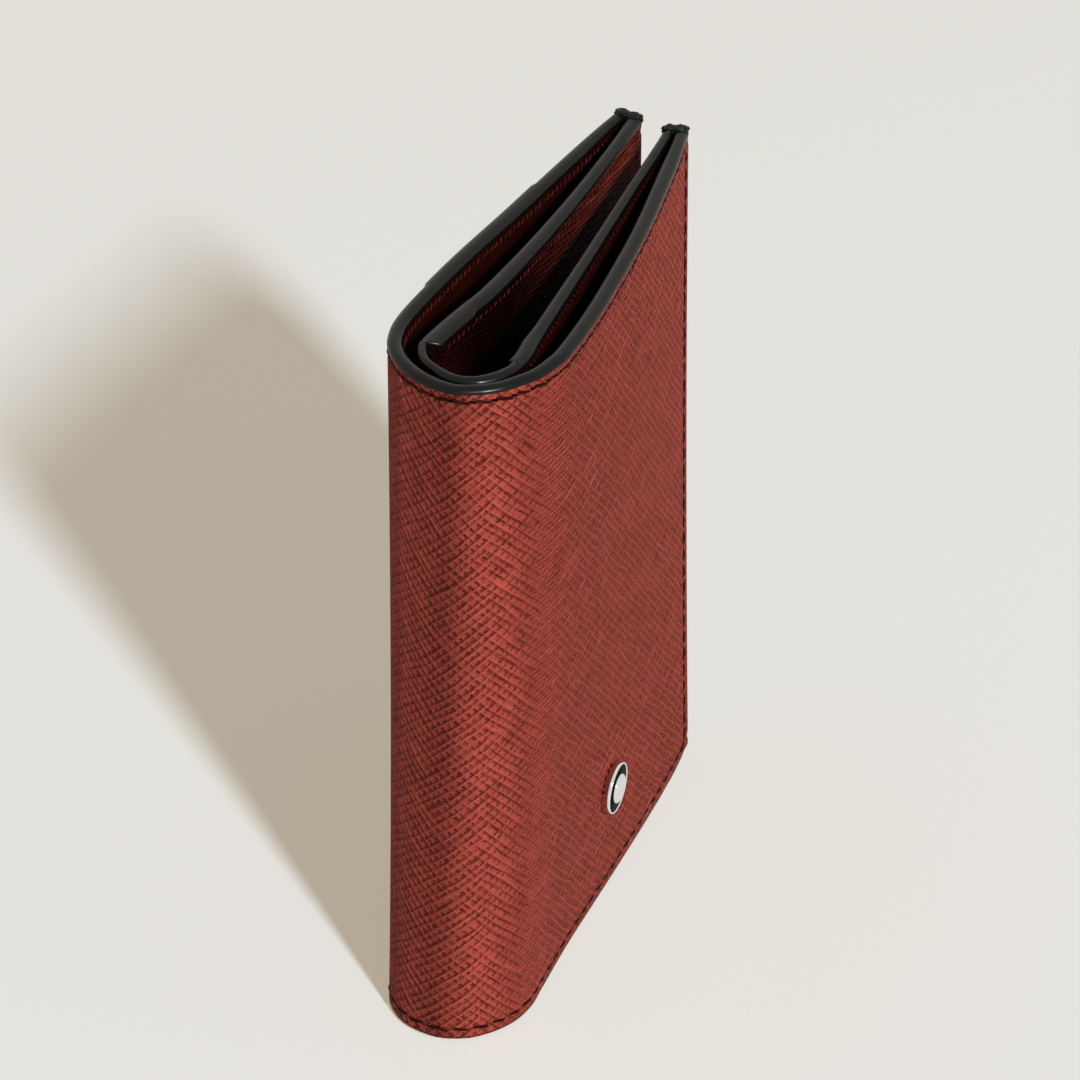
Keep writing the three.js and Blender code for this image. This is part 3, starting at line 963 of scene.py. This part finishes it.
def edge_cap(name, side, material):
    """The rough two-lobed drop of paint over the top corner of a free edge."""
    half_run, half_rise, overhang = 0.95, 0.8, 0.1
    below_top, back_from_end = 0.42, 0.45
    squareness, pinch_depth, pinch_width = 0.62, 0.2, 0.42
    lumps, grains = (1.7, 0.14), (6.0, 0.16)
    half_deep = edge_depth(side) / 2 + overhang
    joint = divider_start * cover_skive_share - edge_depth(side) / 2
    centre_z = height - below_top
    unlike = Vector((side * 5.0, 0, 0))
    end, into = edge_end(side, height)
    middle = end + np.array([-back_from_end, 0.0]) + into * edge_depth(side) / 2
    rings, around = 24, 40
    points = []

    def place(unit):
        rounded = [math.copysign(abs(c) ** squareness, c) for c in unit]
        away = rounded[1] * half_deep
        pinch = 1 - pinch_depth * math.exp(-(((away - joint) / pinch_width) ** 2))
        local = Vector((rounded[0] * half_run * pinch, away, rounded[2] * half_rise * pinch))
        grit = noise.noise(local * lumps[0] + unlike) * lumps[1]
        grit += noise.noise(local * grains[0]) * grains[1]
        local *= 1 + grit
        here = middle + np.array([local.x, 0.0]) + into * local.y
        return (here[0] - centre_along, here[1], centre_z + local.z)

    for ring in range(1, rings + 1):
        tilt = math.pi * ring / (rings + 1)
        for k in range(around):
            turn = 2 * math.pi * k / around
            points.append(place((math.sin(tilt) * math.cos(turn), math.sin(tilt) * math.sin(turn),
                                 -math.cos(tilt))))
    points += [place((0, 0, -1)), place((0, 0, 1))]
    faces = ringed_faces(rings, around)
    if side > 0:
        faces = [face[::-1] for face in faces]
    return piece(name, points, faces, material)


def emblem_seat():
    """Where the emblem sits on the front cover, and which way it faces."""
    def outside(z):
        plan = plan_at(cover, z)[nose_row * steps_per_point:]
        at = int(np.searchsorted(plan[:, 0], emblem_along))
        share = (emblem_along - plan[at - 1, 0]) / (plan[at, 0] - plan[at - 1, 0])
        here = plan[at - 1] * (1 - share) + plan[at] * share
        run = plan[at] - plan[at - 1]
        return Vector((here[0] - centre_along, here[1], z)), Vector((run[0], run[1], 0)).normalized()
    here, run = outside(emblem_rise)
    above, _ = outside(emblem_rise + emblem_radius)
    normal = run.cross((above - here).normalized()).normalized()
    if normal.y > 0:
        normal.negate()
    return here, normal


def turned(name, profile, seat, material):
    """A round piece from a profile of (radius, rise) that starts and ends on its axis."""
    here, normal = seat
    turn = Vector((0, 0, 1)).rotation_difference(normal).to_matrix()
    points = []
    rings = profile[1:-1]
    for radius, rise in rings:
        for k in range(emblem_turns):
            angle = 2 * math.pi * k / emblem_turns
            local = Vector((radius * math.cos(angle), radius * math.sin(angle), rise))
            points.append(tuple(here + turn @ local))
    points += [tuple(here + turn @ Vector((0, 0, profile[0][1]))),
               tuple(here + turn @ Vector((0, 0, profile[-1][1])))]
    return piece(name, points, ringed_faces(len(rings), emblem_turns), material)


def emblem(polished, enamel):
    """A polished cup with a plain dome standing in a dark enamel field."""
    seat = emblem_seat()
    lift, base, top, wall = 0.05, 0.35, 1.45, 0.3
    field_play, field_drop = 0.05, 0.1
    dome_radius, crown, dome_play, dome_step = 2.3, 0.8, 0.01, 0.12
    first_turn, dome_turns = 0.12, 14
    chamfer, soft = 0.1, 0.06

    floor = lift + base
    cup = emblem_radius - wall
    bezel = turned("emblem_bezel_polished", [
        (0, lift), (emblem_radius - 0.12, lift), (emblem_radius, lift + chamfer),
        (emblem_radius, top - 0.12), (emblem_radius - 0.05, top - 0.04), (emblem_radius - chamfer, top),
        (emblem_radius - 2 * chamfer, top), (emblem_radius - 0.26, top - 0.03), (cup, top - chamfer),
        (cup - 0.02, floor), (0, floor),
    ], seat, polished)
    field_radius, field_top = cup - field_play, top - field_drop
    field_low = floor + 0.02
    field = turned("emblem_field_enamel", [
        (0, field_low), (field_radius - chamfer, field_low), (field_radius, field_low + chamfer),
        (field_radius, field_top - soft), (field_radius - soft, field_top), (0, field_top),
    ], seat, enamel)
    dome_low, dome_edge = field_top + dome_play, field_top + dome_step
    profile = [(0, dome_low), (dome_radius - soft, dome_low), (dome_radius, field_top + 0.05),
               (dome_radius, dome_edge)]
    for turn in np.linspace(first_turn, math.pi / 2, dome_turns)[:-1]:
        profile.append((dome_radius * math.cos(turn), dome_edge + crown * math.sin(turn)))
    profile.append((0, dome_edge + crown))
    dome = turned("emblem_dome_polished", profile, seat, polished)
    for made in (bezel, field, dome):
        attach(made, "front_wing")
    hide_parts("emblem_bezel")
    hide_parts("emblem_dome")


def dress_half(side_name, side, finishes, trees):
    """Every leather, painted and sewn piece of one half of the wallet."""
    wing = side_name + "_wing"
    whole = half_columns(cover, side, end=free_edge_along)
    to_end = half_columns(cover, side)

    def bent(made, node):
        nodes = [side_name + "_" + node] + (["spine_" + node] if side < 0 else [])
        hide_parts(*nodes)
        bend(made)

    def riding(made, node):
        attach(made, wing)
        if node:
            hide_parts(side_name + "_" + node)

    hide = sheet(side_name + "_cover_hide", cover, to_end, (0, cover_leather), finishes["hide"],
                 dips=(1, 0))
    bent(hide, "cover_leather")
    lining = sheet(side_name + "_cover_lining_skin", cover, whole,
                   (lining_start, cover_stack - lining_play), finishes["lining"], dips=(0, 0.6))
    bent(lining, "cover_lining")
    inner = half_columns(divider, side, end=free_edge_along)
    inner_along = divider["top"][inner, 0]
    thin = panel_width(side, inner_along) * divider_share
    middle = sheet(side_name + "_divider_skin", divider, inner, (divider_play, thin),
                   finishes["lining"], dips=(0.6, 0))
    bent(middle, "divider")

    along = cover["top"][whole, 0]
    meeting = smoothstep(along, top_length - rim_meet_length, top_length)
    outer = np.full(len(whole), -paint_coat)
    if side > 0:
        start, end = rim_patch
        ends = smoothstep(along, end, end + patch_ramp)
        patch = smoothstep(along, start, start + patch_ramp) * (1 - ends)
        outer = outer - rim_patch_proud * patch
    at_nose = 1 - smoothstep(along, *nose_stretch)
    stack = cover_stack - pared_at_nose * at_nose + cover_rim_meets * meeting
    rim = top_rim(side_name + "_cover_rim", cover, whole, outer, stack, finishes["paint"])
    bent(rim, "cover_top_edge")

    columns = half_columns(divider, side, end=slip_start + ring_overlap)
    length = np.abs(divider["length"][columns])
    proud_end = ring_proud_length[side]
    outer = -ring_coat - ring_proud * (1 - smoothstep(length, proud_end / 2, proud_end))
    widening = smoothstep(length, *ring_widening) * (side < 0)
    deep = ring_width + (ring_front_width - ring_width) * widening
    ring = top_rim(side_name + "_ring_rim", divider, columns, outer, deep, finishes["paint"])
    if side < 0:
        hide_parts("spine_divider_top_edge")
    bend(ring)

    columns = half_columns(divider, side, slip_start, free_edge_along)
    along = divider["top"][columns, 0]
    start = smoothstep(along, *mouth_ramp)
    deep = ring_width + (panel_width(side, along) - ring_width) * start
    meeting = smoothstep(along, top_length - rim_meet_length, top_length)
    outer = -paint_coat - panel_rim_meets * meeting
    panel = top_rim(side_name + "_panel_rim", divider, columns, outer, deep, finishes["paint"])
    riding(panel, "panel_top_edge")

    foot_along = cover["bottom"][whole, 0]
    pack = np.where(foot_along < slip_start, 1.0, panel_width(side, foot_along))
    foot_depth = divider_start + pack / cover_pared(foot_along)
    foot = foot_rim(side_name + "_foot_rim", cover, whole, 0.0, foot_depth, finishes["paint"])
    bent(foot, "bottom_edge")

    for part, node, start, shares, dips in (
        ("slip", "slip_panel", slip_start, slip_shares, (0, 0)),
        ("pocket", "card_pocket", pocket_start, pocket_shares, (0, 0.8)),
    ):
        columns = half_columns(divider, side, start, panel_end)
        width = panel_width(side, divider["top"][columns, 0])
        made = sheet(side_name + "_" + part + "_skin", divider, columns,
                     (width * shares[0], width * shares[1]), finishes["card"], dips=dips)
        riding(made, node)

    free = free_rim(side_name + "_free_rim", side, finishes["grit"])
    riding(free, "free_edge")
    cap = edge_cap(side_name + "_edge_cap", side, finishes["grit"])
    riding(cap, None)

    sew_half(side_name, side, finishes, trees, wing)


def sew_half(side_name, side, finishes, trees, wing):
    """The seams of one half: round the cover inside and out, and round the pockets."""
    run_cover = abs(cover["length"][0 if side > 0 else -1]) - seam_inset
    run_panel = abs(divider["length"][0 if side > 0 else -1]) - panel_seam_inset
    low, high = seam_inset, height - seam_inset
    loop = [(0, high), (run_cover, high), (run_cover, low), (0, low)]
    panel_loop = [(panel_seam_start, high), (run_panel, high), (run_panel, low), (panel_seam_start, low)]
    in_outer_dip, in_inner_dip, in_divider_dip = 0.9 * seam_dip, 0.7 * seam_dip, 0.5 * seam_dip
    pocket_face = lambda x: float(panel_width(side, x)) * pocket_shares[1] - in_inner_dip
    outside = [seam_line(cover, side, loop, in_outer_dip, 1)]
    linings = [
        seam_line(cover, side, loop, cover_stack - in_inner_dip, -1),
        seam_line(divider, side, panel_loop, in_divider_dip, 1),
    ]
    pockets = [seam_line(divider, side, panel_loop, pocket_face, -1)]
    outer_thread = {"Pitch": stitch_pitch * MM, "Shift": stitch_pitch * 0.5 * MM, "Length": 2.35 * MM,
                    "Thickness": 0.5 * MM, "Arch": 0.26 * MM, "Sink": 0.14 * MM, "Slant": 0.2 * side,
                    "Seed": 3}
    inner_thread = {"Pitch": 1.3 * MM, "Shift": 0.6 * MM, "Length": 0.9 * MM, "Thickness": 0.22 * MM,
                    "Arch": 0.16 * MM, "Sink": 0.1 * MM, "Slant": 0.9 * side, "Seed": 8}
    pricked = {"Pitch": stitch_pitch * MM, "Shift": 0.0, "Length": 1.2 * MM, "Thickness": 0.5 * MM,
               "Slant": 0.3 * side, "Seed": 5}
    for part, lines, thread, finish in (
        ("cover", outside, outer_thread, "thread"),
        ("lining", linings, inner_thread, "inner_thread"),
        ("pocket", pockets, inner_thread, "inner_thread"),
    ):
        threads = seam(side_name + "_" + part + "_threads", trees["thread"], lines, thread,
                       finishes[finish])
        holes = seam(side_name + "_" + part + "_needle_hole_shadows", trees["hole"], lines, pricked,
                     finishes["hole"])
        for made in (threads, holes):
            if part == "pocket":
                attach(made, wing)
            else:
                bend(made)


studio()
finishes = {
    "hide": cross_hatched_leather(
        "brick_cross_hatched_leather", (0.33, 0.056, 0.038), (0.016, 0.002, 0.002), 0.55, 0.45),
    # The pocket leather carries painted shade: nearly black towards the spine, full colour only near the
    # free edge.
    "card": cross_hatched_leather(
        "pocket_cross_hatched_leather", (0.26, 0.036, 0.023), (0.02, 0.002, 0.002), 0.6, 0.0,
        painted_shade_darkest=0.04),
    "lining": smooth_leather("dark_lining_leather", (0.016, 0.002, 0.001), 0.8),
    "paint": edge_paint("satin_edge_paint", (0.0022, 0.0027, 0.0031), 0.26, 0.05, 0.22),
    "grit": edge_paint("rough_edge_paint", (0.002, 0.0024, 0.0028), 0.2, 3.0, 0.25),
    "thread": waxed_thread("brick_thread", (0.03, 0.005, 0.004), 0.3),
    "inner_thread": waxed_thread("inner_thread", (0.08, 0.015, 0.011), 0.45),
    # Painted shade: the needle holes are dark balls standing for the shade in them.
    "hole": waxed_thread("needle_hole_painted_shade", (0.006, 0.001, 0.001), 0.8),
}
polished = plated_metal("polished_plate", (0.85, 0.86, 0.88), 0.08, 900.0)
enamel = edge_paint("black_enamel", (0.004, 0.004, 0.005), 0.4, 0.02, 0.01)
steel = plated_metal("washer_steel", (0.5, 0.5, 0.52), 0.35, 2400.0)
trees = {"thread": seam_tree("seam_threads", False), "hole": seam_tree("seam_needle_holes", True)}
dress_half("front", -1, finishes, trees)
dress_half("back", 1, finishes, trees)
emblem(polished, enamel)
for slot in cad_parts["emblem_washer"].material_slots:
    slot.material = steel
